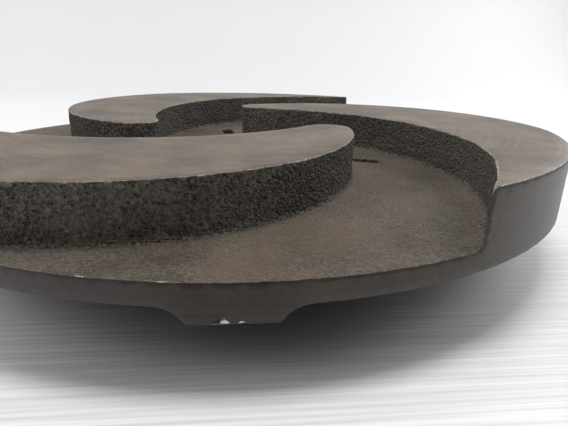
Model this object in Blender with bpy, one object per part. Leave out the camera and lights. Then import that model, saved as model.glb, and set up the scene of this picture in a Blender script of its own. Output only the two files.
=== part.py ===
"""Cast-iron pump impeller: a flat disc with three swept vanes on its front face,
a bored hub behind it, and three low radial vanes on its back.

Metres, +Z up. The origin is on the shaft axis, on the hub's rear face that the casting stands on.
Angles are in degrees, counterclockwise seen from the front, from +X.
"""

import math

import bmesh
import bpy
from mathutils import Vector

# Driving dimensions
OUTER_RADIUS = 0.125
VANE_COUNT = 3
VANE_HEIGHT = 0.015
RIM_THICKNESS = 0.0056
HUB_LENGTH = 0.020
BACK_VANE_HEIGHT = 0.0038

# Heights, from the hub's rear face up
RIM_BACK_Z = HUB_LENGTH
FACE_Z = RIM_BACK_Z + RIM_THICKNESS
VANE_TOP_Z = FACE_Z + VANE_HEIGHT
BACK_VANE_Z = RIM_BACK_Z - BACK_VANE_HEIGHT

# Front vane, for the first of the three: a convex arc that runs out over the rim, a round nose,
# and a concave arc that straightens towards the tip
CONVEX_RADIUS = 0.0794
CONVEX_CENTRE_ANGLE = -144.0
CONVEX_OVERSHOOT = 0.001
CONCAVE_RADIUS = 0.0867
CONCAVE_CENTRE_DISTANCE = 0.0512
CONCAVE_CENTRE_ANGLE = 139.1
TIP_ARC_RADIUS = 0.146
TIP_ARC_BEARING = -141.8
NOSE_RADIUS = 0.0088
VANE_ROOT_FILLET = 0.0013

# Hub and bore
HUB_RADIUS = 0.030
HUB_FILLET = 0.006
WEB_THICKNESS = 0.0090
SEAT_RADIUS = 0.027
SEAT_RISE = 0.0015
SEAT_FILLET = 0.0015
BORE_RADIUS = 0.015
KEYWAY_WIDTH = 0.008
KEYWAY_DEPTH = 0.0033

# Back vane: straight and radial, its height less than the radius of the fillets beside it
BACK_VANE_WIDTH = 0.0192
BACK_VANE_FILLET = 0.0075
BACK_VANE_ANGLE = -90.9

# Pocket beside each nose: a short radial slot in the disc's face
POCKET_ANGLE = -22.0
POCKET_INNER = 0.0445
POCKET_OUTER = 0.0615
POCKET_WIDTH = 0.0058
POCKET_DEPTH = 0.003

# Casting stock that the turning takes off, and how finely round shapes are divided
STOCK = 0.002
ROUND_STEPS = 120
SIDE_STEPS = 30
NOSE_STEPS = 12
FILLET_STEPS = 4

CAST_IRON = {"color": (0.045, 0.040, 0.036, 1.0), "roughness": 0.62, "metallic": 0.75}


def clear_scene():
    for item in list(bpy.data.objects):
        bpy.data.objects.remove(item, do_unlink=True)


def cast_iron_material():
    material = bpy.data.materials.new("cast_iron")
    material.use_nodes = True
    shader = material.node_tree.nodes["Principled BSDF"]
    shader.inputs["Base Color"].default_value = CAST_IRON["color"]
    shader.inputs["Roughness"].default_value = CAST_IRON["roughness"]
    shader.inputs["Metallic"].default_value = CAST_IRON["metallic"]
    return material


def polar(radius, degrees):
    return Vector((radius * math.cos(math.radians(degrees)), radius * math.sin(math.radians(degrees))))


def arc(centre, radius, start, end, steps):
    """Points from start to end, in degrees, both included."""
    return [centre + polar(radius, start + (end - start) * i / steps) for i in range(steps + 1)]


def bearing(centre, point):
    return math.degrees(math.atan2(point.y - centre.y, point.x - centre.x))


def crossing(centre_a, radius_a, centre_b, radius_b, side):
    """The point where two circles cross, on the left (1) or right (-1) of the line from a to b."""
    line = centre_b - centre_a
    along = (radius_a**2 - radius_b**2 + line.length_squared) / (2 * line.length)
    across = math.sqrt(radius_a**2 - along**2)
    ahead = line.normalized()
    return centre_a + along * ahead + side * across * Vector((-ahead.y, ahead.x))


def vane_outline(grow):
    """The first vane in plan, counterclockwise, with every side moved out by grow."""
    centre = Vector((0.0, 0.0))
    rough_radius = OUTER_RADIUS + CONVEX_OVERSHOOT
    convex_centre = polar(rough_radius - CONVEX_RADIUS, CONVEX_CENTRE_ANGLE)
    concave_centre = polar(CONCAVE_CENTRE_DISTANCE, CONCAVE_CENTRE_ANGLE)
    nose_centre = crossing(
        convex_centre, CONVEX_RADIUS - NOSE_RADIUS, concave_centre, CONCAVE_RADIUS + NOSE_RADIUS, -1
    )
    convex_end = bearing(convex_centre, nose_centre)
    concave_start = bearing(concave_centre, nose_centre)
    tip_arc_centre = concave_centre + polar(CONCAVE_RADIUS - TIP_ARC_RADIUS, TIP_ARC_BEARING)
    tip = crossing(centre, rough_radius + grow, tip_arc_centre, TIP_ARC_RADIUS - grow, 1)
    tip_angle = bearing(centre, tip)
    rim = arc(centre, rough_radius + grow, tip_angle - 360, CONVEX_CENTRE_ANGLE, NOSE_STEPS)
    convex = arc(convex_centre, CONVEX_RADIUS + grow, CONVEX_CENTRE_ANGLE, convex_end, SIDE_STEPS)
    nose = arc(nose_centre, NOSE_RADIUS + grow, convex_end, concave_start + 180, NOSE_STEPS)
    concave = arc(concave_centre, CONCAVE_RADIUS - grow, concave_start, TIP_ARC_BEARING, SIDE_STEPS)
    tip_bearing = bearing(tip_arc_centre, tip)
    tip_side = arc(tip_arc_centre, TIP_ARC_RADIUS - grow, TIP_ARC_BEARING, tip_bearing, NOSE_STEPS)
    return rim + convex[1:] + nose[1:] + concave[1:] + tip_side[1:-1]


def fillet_rings(radius, base_z, direction, reach):
    """How far a wall stands out at each height of its root fillet, which ends at reach if that is lower."""
    last = math.acos(1 - min(reach / radius, 1.0))
    rings = []
    for step in range(FILLET_STEPS + 1):
        angle = last * step / FILLET_STEPS
        grow = radius * (math.sin(last) - math.sin(angle))
        rings.append((grow, base_z + direction * radius * (1 - math.cos(angle))))
    return rings


def mesh_object(name, build):
    mesh = bpy.data.meshes.new(name)
    work = bmesh.new()
    build(work)
    bmesh.ops.remove_doubles(work, verts=work.verts, dist=1e-6)
    bmesh.ops.recalc_face_normals(work, faces=work.faces)
    work.to_mesh(mesh)
    work.free()
    result = bpy.data.objects.new(name, mesh)
    bpy.context.scene.collection.objects.link(result)
    return result


def lofted(name, rings):
    """A closed solid through rings of equally many points, capped at both ends."""

    def build(work):
        loops = [[work.verts.new(point) for point in ring] for ring in rings]
        work.faces.new(loops[0])
        work.faces.new(loops[-1])
        for lower, upper in zip(loops, loops[1:]):
            for i in range(len(lower)):
                j = (i + 1) % len(lower)
                work.faces.new((lower[i], lower[j], upper[j], upper[i]))

    return mesh_object(name, build)


def turned(name, profile):
    """A closed ring turned about the axis from a profile of (radius, height) points."""

    def build(work):
        corners = [work.verts.new((radius, 0.0, height)) for radius, height in profile]
        edges = [work.edges.new((corners[i], corners[i - 1])) for i in range(len(corners))]
        bmesh.ops.spin(
            work, geom=corners + edges, cent=(0, 0, 0), axis=(0, 0, 1), angle=math.tau, steps=ROUND_STEPS
        )

    return mesh_object(name, build)


def as_helper(item):
    item.hide_render = True
    item.display_type = "WIRE"
    return item


def combine(target, other, operation):
    modifier = target.modifiers.new(other.name, "BOOLEAN")
    modifier.operation = operation
    modifier.solver = "EXACT"
    modifier.object = as_helper(other)


def corner_arc(centre_radius, centre_z, radius, start, end):
    """A profile's rounded corner as (radius, height) points."""
    points = arc(Vector((centre_radius, centre_z)), radius, start, end, FILLET_STEPS)
    return [(point.x, point.y) for point in points]


def cast_disc_and_hub():
    """The disc, its thicker web, the hub behind and the low seat in front, before turning."""
    rough = OUTER_RADIUS + STOCK
    web_z = FACE_Z - WEB_THICKNESS
    hub_fillet = corner_arc(HUB_RADIUS + HUB_FILLET, web_z - HUB_FILLET, HUB_FILLET, 90, 180)
    seat_top = FACE_Z + SEAT_RISE
    seat_fillet = corner_arc(SEAT_RADIUS + SEAT_FILLET, FACE_Z + SEAT_FILLET, SEAT_FILLET, 180, 270)
    profile = [(BORE_RADIUS - STOCK, seat_top), *seat_fillet, (rough, FACE_Z), (rough, RIM_BACK_Z)]
    profile += [(OUTER_RADIUS, RIM_BACK_Z), *hub_fillet, (HUB_RADIUS, -STOCK), (BORE_RADIUS - STOCK, -STOCK)]
    return turned("impeller", profile)


def turned_envelope():
    """What the lathe leaves: outer diameter, vane tops, back vanes, hub face and bore."""
    clear_of_hub = HUB_RADIUS + HUB_FILLET
    profile = [
        (BORE_RADIUS, 0.0),
        (clear_of_hub, 0.0),
        (clear_of_hub, BACK_VANE_Z),
        (OUTER_RADIUS, BACK_VANE_Z),
        (OUTER_RADIUS, VANE_TOP_Z),
        (BORE_RADIUS, VANE_TOP_Z),
    ]
    return turned("turned_envelope", profile)


def front_vane(index):
    below_face = FACE_Z - RIM_THICKNESS / 2
    sides = fillet_rings(VANE_ROOT_FILLET, FACE_Z, 1, VANE_HEIGHT)
    sides = [(sides[0][0], below_face), *sides, (0.0, VANE_TOP_Z + STOCK)]
    rings = [[(x, y, height) for x, y in vane_outline(grow)] for grow, height in sides]
    vane = lofted(f"front_vane_{index + 1}", rings)
    vane.rotation_euler.z = math.tau * index / VANE_COUNT
    return vane


def back_vane(index):
    inner = BORE_RADIUS + STOCK
    outer = OUTER_RADIUS + STOCK
    sides = fillet_rings(BACK_VANE_FILLET, RIM_BACK_Z, -1, BACK_VANE_HEIGHT)
    sides = [(sides[0][0], RIM_BACK_Z + RIM_THICKNESS / 2), *sides, (0.0, BACK_VANE_Z - STOCK)]
    rings = []
    for grow, height in sides:
        half = BACK_VANE_WIDTH / 2 + grow
        corners = ((inner, -half), (outer, -half), (outer, half), (inner, half))
        rings.append([(x, y, height) for x, y in corners])
    vane = lofted(f"back_vane_{index + 1}", rings)
    vane.rotation_euler.z = math.radians(BACK_VANE_ANGLE) + math.tau * index / VANE_COUNT
    return vane


def keyway():
    half = KEYWAY_WIDTH / 2
    outer = BORE_RADIUS + KEYWAY_DEPTH
    corners = ((0.0, -half), (outer, -half), (outer, half), (0.0, half))
    heights = (-STOCK, VANE_TOP_Z)
    return lofted("keyway", [[(x, y, height) for x, y in corners] for height in heights])


def pocket(index):
    half = POCKET_WIDTH / 2
    inner = Vector((POCKET_INNER + half, 0.0))
    outer = Vector((POCKET_OUTER - half, 0.0))
    outline = arc(outer, half, -90, 90, NOSE_STEPS // 2) + arc(inner, half, 90, 270, NOSE_STEPS // 2)
    heights = (FACE_Z - POCKET_DEPTH, FACE_Z + STOCK)
    cutter = lofted(f"pocket_{index + 1}", [[(x, y, height) for x, y in outline] for height in heights])
    cutter.rotation_euler.z = math.radians(POCKET_ANGLE) + math.tau * index / VANE_COUNT
    return cutter


def main():
    clear_scene()
    impeller = cast_disc_and_hub()
    for index in range(VANE_COUNT):
        combine(impeller, front_vane(index), "UNION")
        combine(impeller, back_vane(index), "UNION")
    combine(impeller, turned_envelope(), "INTERSECT")
    combine(impeller, keyway(), "DIFFERENCE")
    for index in range(VANE_COUNT):
        combine(impeller, pocket(index), "DIFFERENCE")
    impeller.data.materials.append(cast_iron_material())
    impeller.data.shade_smooth()
    impeller.data.set_sharp_from_angle(angle=math.radians(30))


main()
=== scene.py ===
"""Cast-iron pump impeller on a pale board: sand-cast walls, turned vane tops and rim.

Metres, +Z up, in the frame of the CAD: the origin is on the shaft axis, at the hub's rear face.
The visible piece is the CAD solid's own surface, divided finely and roughened as sand leaves it.
"""

import math

import bmesh
import bpy
from mathutils import Matrix, Vector, noise

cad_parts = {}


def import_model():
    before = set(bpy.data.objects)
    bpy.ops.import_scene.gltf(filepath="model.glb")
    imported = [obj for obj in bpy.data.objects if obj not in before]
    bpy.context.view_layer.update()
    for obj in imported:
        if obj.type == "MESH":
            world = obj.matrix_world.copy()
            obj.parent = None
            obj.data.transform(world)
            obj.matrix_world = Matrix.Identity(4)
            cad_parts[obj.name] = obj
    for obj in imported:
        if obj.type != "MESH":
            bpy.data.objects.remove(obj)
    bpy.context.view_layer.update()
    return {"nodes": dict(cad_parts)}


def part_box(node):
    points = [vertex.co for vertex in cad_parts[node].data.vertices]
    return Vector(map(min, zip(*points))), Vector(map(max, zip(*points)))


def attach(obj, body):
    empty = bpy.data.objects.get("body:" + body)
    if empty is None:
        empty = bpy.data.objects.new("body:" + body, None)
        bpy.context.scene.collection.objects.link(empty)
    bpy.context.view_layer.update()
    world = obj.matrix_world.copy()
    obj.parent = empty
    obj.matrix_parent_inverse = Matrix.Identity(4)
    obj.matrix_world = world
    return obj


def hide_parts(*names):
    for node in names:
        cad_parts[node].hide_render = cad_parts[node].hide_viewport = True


# Sizes that the frame doesn't give, as the CAD has them
FACE_Z = 0.0256
BACK_VANE_Z = 0.0162
VANE_TOP_Z = 0.0406
BORE_RADIUS = 0.015
KEYWAY_DEPTH = 0.0033

# Kinds of surface, each with its own material, and how finely each is divided
WALL, FACE, BACK, TOP, RIM, BORE, EDGE, LIP, CHIP = range(9)
SPACING = {
    WALL: 0.0014, FACE: 0.0022, BACK: 0.0080, TOP: 0.0050,
    RIM: 0.0028, BORE: 0.0100, EDGE: 0.0018, LIP: 0.0022,
}

# Slack: in a height or a radius, for two corners in one place, and in how level or upright a facet is
HAIR = 0.0001
SAME_PLACE = 0.00003
LEVEL = 0.99
UPRIGHT = 0.1

# Angles between facets, in degrees: sharp enough to wear, flat enough to divide anew, and shaded as an edge
WORN_ANGLE = 35.0
FLAT_ANGLE = 4.0
SHARP_ANGLE = 50.0

# How the sand mould and the wear have shaped the surface
VANE_EDGE_WEAR = 0.00028
RIM_EDGE_WEAR = 0.00016
WALL_RELIEF = 0.00050
FACE_RELIEF = 0.00010
BACK_RELIEF = 0.00018
GRAIN = 0.0016

# Chips in the edges, with bright metal in them: a point on the edge, and how far the chip reaches
CHIPS = (
    (-0.0316, -0.1210, FACE_Z, 0.0009),
    (-0.0157, -0.1240, FACE_Z, 0.0009),
    (-0.0132, -0.1243, FACE_Z, 0.0007),
    (-0.0052, -0.1249, BACK_VANE_Z, 0.0008),
    (-0.0036, -0.1249, BACK_VANE_Z, 0.0019),
    (-0.0003, -0.1250, BACK_VANE_Z, 0.0015),
    (-0.0305, -0.1046, VANE_TOP_Z, 0.0016),
    (-0.0245, -0.1055, VANE_TOP_Z, 0.0014),
    (0.0372, -0.0378, VANE_TOP_Z, 0.0018),
    (0.0546, -0.1130, VANE_TOP_Z, 0.0016),
)
CHIP_DEPTH = 0.0003

# Spots of bright metal on the rim, by the lower edge of the back vane in front: a point, and a reach
BARE_SPOTS = (
    (-0.0036, -0.1250, BACK_VANE_Z + 0.0002, 0.0016),
    (-0.0003, -0.1250, BACK_VANE_Z + 0.0002, 0.0010),
)
BARE_METAL = (0.80, 0.79, 0.75)

# Painted light: walls that face -Y are painted paler, by this much at most, and with these brightest grains,
# standing in for light and shade that the grain relief doesn't give. This is a fit to the photograph's
# brightness from one side, and not a property of the casting: all vanes are alike.
FRONT_PAINTED_LIGHT = 4.4
PAINTED_LIGHT_BRIGHTEST_GRAIN = (0.60, 0.54, 0.48)

# A nick in the disc's face: its middle, its direction in degrees, and its half length, half width and depth
NICK_PLACE = (0.0524, -0.1050)
NICK_DIRECTION = 25.0
NICK_HALF_LENGTH = 0.0032
NICK_HALF_WIDTH = 0.0009
NICK_DEPTH = 0.0007

# Camera, from the photograph
CAMERA_PLACE = (0.0, -0.20309, 0.06704)
CAMERA_YAW = 5.5634
CAMERA_PITCH = 19.3068
CAMERA_ROLL = 1.2711
CAMERA_LENS = 28.847
SENSOR_WIDTH = 36.0

# Studio: soft lights overhead, at both sides and over the backdrop, and a dark room behind the camera.
# Each is a place, the point that it faces, its size, and its power.
LIGHTS = {
    "overhead": ((0.05, 0.0, 1.2), (0.05, 0.0, 0.0), (0.50, 0.32), 8.8),
    "left_wall": ((-0.80, 0.03, 0.52), (0.0, 0.0, 0.0), (1.0, 0.5), 6.8),
    "right_wall": ((0.80, 0.18, 0.52), (0.0, 0.0, 0.0), (1.0, 0.5), 7.2),
    "backdrop_light": ((-0.45, 0.50, 0.9), (-0.30, 1.0, 0.4), (1.8, 0.3), 1.1),
}
WORLD_STRENGTH = 0.02
BOARD_HALF_WIDTH = 1.6
BOARD_FRONT = -1.0
BOARD_BACK = 0.55
SWEEP_RADIUS = 0.25
SWEEP_HEIGHT = 1.5
SWEEP_STEPS = 12


def surface_kind(face, outer_radius):
    """Which kind of surface a flat facet of the solid belongs to."""
    normal = face.normal
    heights = [vert.co.z for vert in face.verts]
    radii = [vert.co.xy.length for vert in face.verts]
    if normal.z > LEVEL and min(heights) > FACE_Z + HAIR and max(heights) - min(heights) < HAIR:
        return TOP
    if abs(normal.z) < UPRIGHT and min(radii) > outer_radius - HAIR:
        return RIM
    if max(radii) < BORE_RADIUS + KEYWAY_DEPTH + HAIR * 5 or max(heights) < HAIR:
        return BORE
    if normal.z < -LEVEL and max(heights) < BACK_VANE_Z + HAIR:
        return BORE
    if normal.z > 0.9 and abs(min(heights) - FACE_Z) < HAIR * 2:
        return FACE
    return WALL if max(heights) > FACE_Z + HAIR or normal.z > -UPRIGHT else BACK


def wear_edges(work):
    """Breaks the sharp edges of the turned surfaces with narrow worn flats."""
    for kind, width, flat in ((TOP, VANE_EDGE_WEAR, EDGE), (RIM, RIM_EDGE_WEAR, LIP)):
        edges = []
        for edge in work.edges:
            kinds = {face.material_index for face in edge.link_faces}
            if kind in kinds and len(kinds) == 2 and not kinds & {EDGE, LIP}:
                if edge.calc_face_angle(0) > math.radians(WORN_ANGLE):
                    edges.append(edge)
        bmesh.ops.bevel(
            work, geom=edges, offset=width, segments=2, profile=0.5, affect="EDGES", material=flat
        )


def divide(work):
    """Cuts the triangles down to their surface's spacing, the longest edges first."""
    bmesh.ops.triangulate(work, faces=work.faces)
    even_out(work)
    for coarseness in (64, 32, 16, 8, 4, 2, 1):
        for _ in range(4):
            halve_longest(work, coarseness)
        even_out(work)


def halve_longest(work, coarseness):
    """Halves each edge that is too long and the longest of both its triangles."""
    longest = {face: max(face.edges, key=lambda edge: edge.calc_length()) for face in work.faces}
    too_long = []
    for edge in work.edges:
        spacing = min(SPACING[face.material_index] for face in edge.link_faces)
        if edge.calc_length() > spacing * coarseness:
            if all(longest[face] is edge for face in edge.link_faces):
                too_long.append(edge)
    bmesh.ops.subdivide_edges(work, edges=too_long, cuts=1, use_single_edge=True)
    bmesh.ops.triangulate(work, faces=[face for face in work.faces if len(face.verts) > 3])


def even_out(work):
    """Flips edges inside each flat stretch, where that makes fuller triangles."""
    flat = []
    for edge in work.edges:
        kinds = {face.material_index for face in edge.link_faces}
        if len(kinds) == 1 and not kinds & {EDGE, LIP} and edge.calc_face_angle(0) < math.radians(FLAT_ANGLE):
            flat.append(edge)
    bmesh.ops.beautify_fill(work, faces=work.faces, edges=flat, use_restrict_tag=True, method="AREA")


def sand(point):
    """Height of sand-cast iron at a point, about -1 to 1: rounded grains over a slower swell."""
    nearest = noise.voronoi(point / GRAIN)[0]
    grains = 0.8 - 1.5 * nearest[0] + 0.4 * noise.noise(point / (GRAIN * 0.55))
    swell = noise.noise(point / (GRAIN * 3)) + 0.7 * noise.noise(point / (GRAIN * 9))
    return 0.65 * grains + 0.60 * swell


def roughen(work, outer_radius):
    """Moves the cast surfaces in and out; turned ones stay true."""
    relief = {WALL: WALL_RELIEF, FACE: FACE_RELIEF, BACK: BACK_RELIEF, BORE: 0.0}
    limit = outer_radius - HAIR
    moves = []
    for vert in work.verts:
        kinds = {face.material_index for face in vert.link_faces}
        direction = vert.normal.copy()
        amount = min((relief[kind] for kind in kinds if kind in relief), default=WALL_RELIEF * 0.5)
        if kinds & {TOP, EDGE}:
            direction.z = 0.0
        if kinds & {RIM, LIP} or vert.co.xy.length > limit:
            amount = 0.0
        moves.append(direction * amount * sand(vert.co))
    for vert, move in zip(work.verts, moves):
        vert.co += move
        if move.length > 0 and vert.co.xy.length > limit:
            vert.co.xy = vert.co.xy.normalized() * limit


def chip_edges(work):
    """Knocks small pieces out of the edges, inwards and a little uneven."""
    for x, y, z, reach in CHIPS:
        place = Vector((x, y, z))
        hit = [vert for vert in work.verts if (vert.co - place).length < reach]
        faces = {face for vert in hit for face in vert.link_faces}
        for face in faces:
            near = (face.calc_center_median() - place).length < reach
            if near and face.material_index in (EDGE, LIP):
                face.material_index = CHIP
        for vert in hit:
            depth = CHIP_DEPTH * (1 - (vert.co - place).length / reach)
            vert.co -= vert.normal * depth * (1 + noise.noise(vert.co / GRAIN))
            vert.co.z = min(vert.co.z, VANE_TOP_Z)


def nick_face(work):
    """Presses one small nick into the disc's face."""
    along = Vector((math.cos(math.radians(NICK_DIRECTION)), math.sin(math.radians(NICK_DIRECTION))))
    across = Vector((-along.y, along.x))
    for vert in work.verts:
        offset = vert.co.xy - Vector(NICK_PLACE)
        far = math.hypot(offset.dot(along) / NICK_HALF_LENGTH, offset.dot(across) / NICK_HALF_WIDTH)
        if far < 1 and abs(vert.co.z - FACE_Z) < 3 * HAIR:
            vert.co.z -= NICK_DEPTH * (1 - far)


def true_up_rim(work, outer_radius):
    """Brings the rim's facets out to the circle that they stand for."""
    for vert in work.verts:
        if any(face.material_index == RIM for face in vert.link_faces):
            flat = vert.co.xy
            if flat.length > outer_radius - HAIR:
                vert.co.xy = flat.normalized() * outer_radius


def casting_skin(node):
    """The solid's own surface, divided, worn, roughened and chipped, as a piece of its own."""
    outer_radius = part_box(node.name)[1].x
    work = bmesh.new()
    work.from_mesh(node.data)
    bmesh.ops.remove_doubles(work, verts=work.verts, dist=SAME_PLACE)
    bmesh.ops.dissolve_degenerate(work, dist=SAME_PLACE, edges=work.edges)
    for face in work.faces:
        face.material_index = surface_kind(face, outer_radius)
    wear_edges(work)
    divide(work)
    true_up_rim(work, outer_radius)
    work.normal_update()
    roughen(work, outer_radius)
    work.normal_update()
    chip_edges(work)
    nick_face(work)
    mesh = bpy.data.meshes.new("impeller_casting")
    work.to_mesh(mesh)
    work.free()
    mesh.shade_smooth()
    mesh.set_sharp_from_angle(angle=math.radians(SHARP_ANGLE))
    skin = bpy.data.objects.new("impeller_casting", mesh)
    bpy.context.scene.collection.objects.link(skin)
    return skin


def add(tree, kind, **inputs):
    """A shader node. Each name sets one of its properties or, failing that, sets or links an input."""
    made = tree.nodes.new(kind)
    for name, value in inputs.items():
        if hasattr(made, name):
            setattr(made, name, value)
            continue
        socket = made.inputs[name.replace("_", " ")]
        if isinstance(value, bpy.types.NodeSocket):
            tree.links.new(value, socket)
        else:
            socket.default_value = value
    return made


def ramp(tree, factor, *stops):
    made = add(tree, "ShaderNodeValToRGB")
    tree.links.new(factor, made.inputs["Fac"])
    elements = made.color_ramp.elements
    while len(elements) < len(stops):
        elements.new(0.5)
    for element, (position, color) in zip(elements, stops):
        element.position = position
        element.color = (*color, 1.0)
    return made.outputs["Color"]


def mix_values(tree, first, second, first_share, second_share):
    """The sum of two values, each times its share."""
    part = times(tree, first, first_share)
    both = add(tree, "ShaderNodeMath", operation="MULTIPLY_ADD")
    tree.links.new(second, both.inputs[0])
    both.inputs[1].default_value = second_share
    tree.links.new(part, both.inputs[2])
    return both.outputs[0]


def times(tree, first, second):
    """A value times a number or another value."""
    made = add(tree, "ShaderNodeMath", operation="MULTIPLY")
    tree.links.new(first, made.inputs[0])
    if isinstance(second, bpy.types.NodeSocket):
        tree.links.new(second, made.inputs[1])
    else:
        made.inputs[1].default_value = second
    return made.outputs[0]


def span(tree, value, start, end, least=0.0):
    """Goes from least to 1 as a value goes from start to end, and no further."""
    made = add(tree, "ShaderNodeMapRange", Value=value)
    made.inputs["From Min"].default_value = start
    made.inputs["From Max"].default_value = end
    made.inputs["To Min"].default_value = least
    return made.outputs["Result"]


def blend(tree, amount, under, over):
    """A colour socket with a plain colour or another socket over it, as far as the amount says."""
    made = add(tree, "ShaderNodeMix", data_type="RGBA")
    tree.links.new(amount, made.inputs["Factor"])
    tree.links.new(under, made.inputs["A"])
    if isinstance(over, tuple):
        made.inputs["B"].default_value = (*over, 1.0)
    else:
        tree.links.new(over, made.inputs["B"])
    return made.outputs["Result"]


def plain_material(name, color, roughness):
    material = bpy.data.materials.new(name)
    material.use_nodes = True
    shader = material.node_tree.nodes["Principled BSDF"]
    shader.inputs["Base Color"].default_value = (*color, 1.0)
    shader.inputs["Roughness"].default_value = roughness
    return material


def bare_spots(tree, place, color):
    """A colour socket with bright metal showing through it at each bare spot."""
    uneven = add(tree, "ShaderNodeTexNoise", Vector=place, Scale=1500.0).outputs["Fac"]
    for x, y, z, reach in BARE_SPOTS:
        gap = add(tree, "ShaderNodeVectorMath", operation="DISTANCE")
        tree.links.new(place, gap.inputs[0])
        gap.inputs[1].default_value = (x, y, z)
        spread = mix_values(tree, gap.outputs["Value"], uneven, 1 / reach, 0.8)
        color = blend(tree, span(tree, spread, 1.1, 0.9), color, BARE_METAL)
    return color


def board_material():
    """White board with a faint grain from left to right, which fades out behind the impeller."""
    material = plain_material("pale_board", (0.80, 0.80, 0.81), 0.6)
    tree = material.node_tree
    place = add(tree, "ShaderNodeTexCoord").outputs["Object"]
    grain = add(tree, "ShaderNodeMapping", Vector=place)
    grain.inputs["Scale"].default_value = (14.0, 1050.0, 1.0)
    streaks = add(tree, "ShaderNodeTexNoise", Vector=grain.outputs["Vector"], Scale=1.0, Detail=3.0)
    color = ramp(tree, streaks.outputs["Fac"], (0.30, (0.66, 0.66, 0.67)), (0.70, (0.88, 0.88, 0.89)))
    depth = add(tree, "ShaderNodeSeparateXYZ", Vector=place).outputs["Y"]
    color = blend(tree, span(tree, depth, -0.10, 0.15), color, (0.67, 0.67, 0.68))
    tree.links.new(color, tree.nodes["Principled BSDF"].inputs["Base Color"])
    return material


def cast_material(name, dark, light, roughness, grain, depth, patch=None, dust_and_highlight=None):
    """Sand-cast iron: rounded grains and broad mottling, perhaps rust patches, or painted front light on the
    walls that face -Y and pale dusty specks that are partly painted highlight.
    """
    material = plain_material(name, light, roughness)
    tree = material.node_tree
    shader = tree.nodes["Principled BSDF"]
    place = add(tree, "ShaderNodeTexCoord").outputs["Object"]
    fine = add(tree, "ShaderNodeTexNoise", Vector=place, Scale=2.2 / grain, Detail=3.0, Roughness=0.6)
    cells = add(tree, "ShaderNodeTexVoronoi", Vector=place, Scale=1 / grain)
    grains = mix_values(tree, fine.outputs["Fac"], cells.outputs["Distance"], 1.0, -0.45)
    bump = add(tree, "ShaderNodeBump", Height=grains, Strength=1.0, Distance=depth).outputs["Normal"]
    broad = add(tree, "ShaderNodeTexNoise", Vector=place, Scale=60.0, Detail=4.0)
    speckle = add(
        tree, "ShaderNodeTexNoise", Vector=place, Scale=1.5 / grain, Detail=5.0, Roughness=0.75
    ).outputs["Fac"]
    mottle = mix_values(tree, speckle, broad.outputs["Fac"], 1.0, 0.3)
    color = ramp(tree, mottle, (0.55, dark), (0.78, light))
    if patch:
        color = rust_patches(tree, place, color, patch)
    if dust_and_highlight:
        normal = add(tree, "ShaderNodeTexCoord").outputs["Normal"]
        facing = add(tree, "ShaderNodeSeparateXYZ", Vector=normal)
        # Painted light: walls that face -Y are painted paler than those that face sideways, standing in for
        # light and shade that the grain relief doesn't give.
        forwards = span(tree, facing.outputs["Y"], -0.75, -0.97)
        color = blend(tree, forwards, color, painted_front_light(tree, mottle, dark, light))
        # Pale dusty specks on upward-facing surfaces, partly painted highlight where the light from above
        # falls on them.
        specks = ramp(tree, speckle, (0.50, (0.0, 0.0, 0.0)), (0.62, (1.0, 1.0, 1.0)))
        upward_specks_share = times(tree, span(tree, facing.outputs["Z"], 0.25, 0.55), specks)
        color = blend(tree, upward_specks_share, color, dust_and_highlight)
        # Upward-facing grain facets painted pale, more so on the walls that face -Y: painted highlight on
        # grain crests lit from above, partly pale dusty grit.
        upwards = add(tree, "ShaderNodeSeparateXYZ", Vector=bump).outputs["Z"]
        upward_grain_share = times(tree, span(tree, upwards, 0.10, 0.75), span(tree, forwards, 0.0, 1.0, 0.55))
        color = blend(tree, upward_grain_share, color, dust_and_highlight)
    tree.links.new(color, shader.inputs["Base Color"])
    tree.links.new(bump, shader.inputs["Normal"])
    return material


def rust_patches(tree, place, color, rust):
    """A colour socket with broken patches of rust over it."""
    spread = add(tree, "ShaderNodeTexNoise", Vector=place, Scale=28.0, Detail=8.0, Roughness=0.75)
    amount = ramp(tree, spread.outputs["Fac"], (0.50, (0.0, 0.0, 0.0)), (0.70, (0.8, 0.8, 0.8)))
    return blend(tree, amount, color, rust)


def painted_front_light(tree, mottle, dark, light):
    """Painted light: the walls that face -Y painted paler than those facing sideways, fitted to the
    photograph.
    """
    paler = tuple(FRONT_PAINTED_LIGHT * part for part in light)
    return ramp(tree, mottle, (0.54, dark), (0.76, paler), (0.86, PAINTED_LIGHT_BRIGHTEST_GRAIN))


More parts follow.
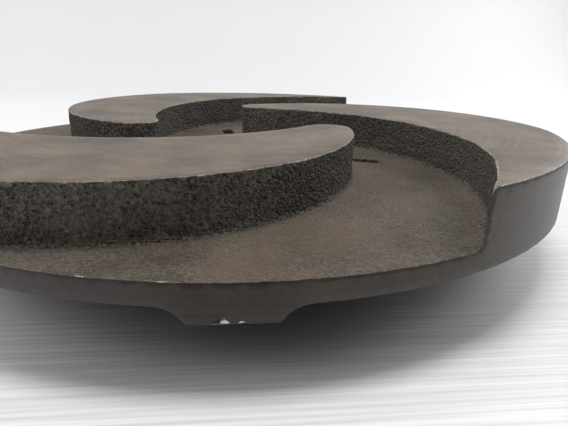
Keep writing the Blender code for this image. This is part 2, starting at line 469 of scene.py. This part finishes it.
def turned_material(name, dark, light, roughness, along_axis, tint=None):
    """Turned iron under thin oxide: fine rings about the shaft axis, mottled colour.

    With a tint, its left half is hazed with that colour, and it has the bare spots.
    """
    material = plain_material(name, light, roughness)
    tree = material.node_tree
    shader = tree.nodes["Principled BSDF"]
    place = add(tree, "ShaderNodeTexCoord").outputs["Object"]
    parts = add(tree, "ShaderNodeSeparateXYZ", Vector=place)
    x, y, z = (parts.outputs[axis] for axis in "XYZ")
    flat = add(tree, "ShaderNodeCombineXYZ", X=x, Y=y)
    radius = add(tree, "ShaderNodeVectorMath", operation="LENGTH")
    tree.links.new(flat.outputs[0], radius.inputs[0])
    across = z if along_axis else radius.outputs["Value"]
    angle = add(tree, "ShaderNodeMath", operation="ARCTAN2")
    tree.links.new(y, angle.inputs[0])
    tree.links.new(x, angle.inputs[1])
    ring = add(tree, "ShaderNodeCombineXYZ", X=times(tree, across, 1100.0), Y=angle.outputs[0])
    marks = add(tree, "ShaderNodeTexNoise", Vector=ring.outputs[0], Scale=1.0, Detail=3.0)
    speckle = add(tree, "ShaderNodeTexNoise", Vector=place, Scale=900.0, Detail=2.0)
    broad = add(tree, "ShaderNodeTexNoise", Vector=place, Scale=45.0, Detail=6.0, Roughness=0.6)
    mottle = mix_values(tree, broad.outputs["Fac"], marks.outputs["Fac"], 0.6, 0.25)
    mottle = mix_values(tree, mottle, speckle.outputs["Fac"], 1.0, 0.15)
    color = ramp(tree, mottle, (0.38, dark), (0.62, light))
    if tint:
        color = blend(tree, span(tree, x, 0.0, -0.04), color, tint)
        color = bare_spots(tree, place, color)
    tree.links.new(color, shader.inputs["Base Color"])
    bump = add(tree, "ShaderNodeBump", Height=marks.outputs["Fac"], Strength=1.0, Distance=0.00004)
    tree.links.new(bump.outputs["Normal"], shader.inputs["Normal"])
    return material


def casting_materials():
    """One material for each kind of surface, in the order of the kinds."""
    rust = (0.100, 0.064, 0.036)
    haze = (0.052, 0.039, 0.037)
    # Pale dusty grit, and painted highlight on the upward-facing grain of the walls.
    dust_and_highlight = (0.330, 0.300, 0.265)
    wall = cast_material(
        "cast_wall", (0.009, 0.008, 0.007), (0.085, 0.074, 0.063), 0.80, 0.0014, 0.0030, dust_and_highlight=dust_and_highlight
    )
    face = cast_material(
        "cast_face", (0.030, 0.022, 0.015), (0.135, 0.106, 0.078), 0.70, 0.0010, 0.00030, rust
    )
    back = cast_material("cast_back", (0.015, 0.013, 0.012), (0.080, 0.070, 0.062), 0.75, 0.0014, 0.0004)
    top = turned_material("turned_top", (0.045, 0.032, 0.020), (0.163, 0.122, 0.088), 0.50, False)
    rim = turned_material("turned_rim", (0.024, 0.018, 0.012), (0.066, 0.052, 0.039), 0.40, True, haze)
    bore = turned_material("turned_bore", (0.045, 0.040, 0.036), (0.085, 0.077, 0.070), 0.45, True)
    edge = cast_material("worn_edge", (0.060, 0.053, 0.046), (0.320, 0.290, 0.250), 0.50, 0.0025, 0.0001)
    lip = cast_material("rim_edge", (0.030, 0.026, 0.022), (0.160, 0.140, 0.120), 0.55, 0.0025, 0.0001)
    chip = cast_material("bare_metal", (0.300, 0.290, 0.270), (0.850, 0.840, 0.800), 0.40, 0.0010, 0.0001)
    for material, level in ((wall, 0.15), (top, 0.40), (rim, 0.36), (lip, 0.38)):
        material.node_tree.nodes["Principled BSDF"].inputs["Specular IOR Level"].default_value = level
    return wall, face, back, top, rim, bore, edge, lip, chip


def board():
    """The pale board that the impeller stands on, swept up behind it."""
    points = [(BOARD_FRONT, 0.0)]
    for step in range(SWEEP_STEPS + 1):
        angle = math.pi / 2 * step / SWEEP_STEPS
        points.append((BOARD_BACK + SWEEP_RADIUS * math.sin(angle), SWEEP_RADIUS * (1 - math.cos(angle))))
    points.append((BOARD_BACK + SWEEP_RADIUS, SWEEP_HEIGHT))
    verts = [(x, y, z) for y, z in points for x in (-BOARD_HALF_WIDTH, BOARD_HALF_WIDTH)]
    faces = [(2 * i, 2 * i + 1, 2 * i + 3, 2 * i + 2) for i in range(len(points) - 1)]
    mesh = bpy.data.meshes.new("board")
    mesh.from_pydata(verts, [], faces)
    mesh.shade_smooth()
    item = bpy.data.objects.new("board", mesh)
    bpy.context.scene.collection.objects.link(item)
    mesh.materials.append(board_material())


def studio_lights():
    """Soft rectangular lights, each turned to the point that it faces."""
    for name, (place, aim, size, power) in LIGHTS.items():
        light = bpy.data.lights.new(name, "AREA")
        light.shape = "RECTANGLE"
        light.size, light.size_y = size
        light.energy = power
        item = bpy.data.objects.new(name, light)
        item.location = place
        item.rotation_euler = (Vector(aim) - Vector(place)).to_track_quat("-Z", "Y").to_euler()
        bpy.context.scene.collection.objects.link(item)


def world():
    """A dim even light from all round, for the dark room."""
    surround = bpy.data.worlds.new("surround")
    surround.use_nodes = True
    background = surround.node_tree.nodes["Background"]
    background.inputs["Color"].default_value = (1.0, 1.0, 1.0, 1.0)
    background.inputs["Strength"].default_value = WORLD_STRENGTH
    bpy.context.scene.world = surround


def camera():
    """The camera at the photograph's place and angle."""
    yaw, pitch, roll = (math.radians(angle) for angle in (CAMERA_YAW, CAMERA_PITCH, CAMERA_ROLL))
    ahead = Vector((math.sin(yaw) * math.cos(pitch), math.cos(yaw) * math.cos(pitch), -math.sin(pitch)))
    right = ahead.cross(Vector((0.0, 0.0, 1.0))).normalized()
    up = right.cross(ahead)
    rolled_right = math.cos(roll) * right + math.sin(roll) * up
    rolled_up = math.cos(roll) * up - math.sin(roll) * right
    turn = Matrix((rolled_right, rolled_up, -ahead)).transposed()
    data = bpy.data.cameras.new("camera")
    data.sensor_width = SENSOR_WIDTH
    data.lens = CAMERA_LENS
    data.clip_start = 0.01
    item = bpy.data.objects.new("camera", data)
    item.matrix_world = Matrix.Translation(CAMERA_PLACE) @ turn.to_4x4()
    bpy.context.scene.collection.objects.link(item)
    bpy.context.scene.camera = item


def main():
    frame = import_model()
    skin = casting_skin(frame["nodes"]["impeller"])
    for material in casting_materials():
        skin.data.materials.append(material)
    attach(skin, "root")
    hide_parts("impeller")
    board()
    studio_lights()
    world()
    camera()
    bpy.context.scene.view_settings.view_transform = "Standard"


main()
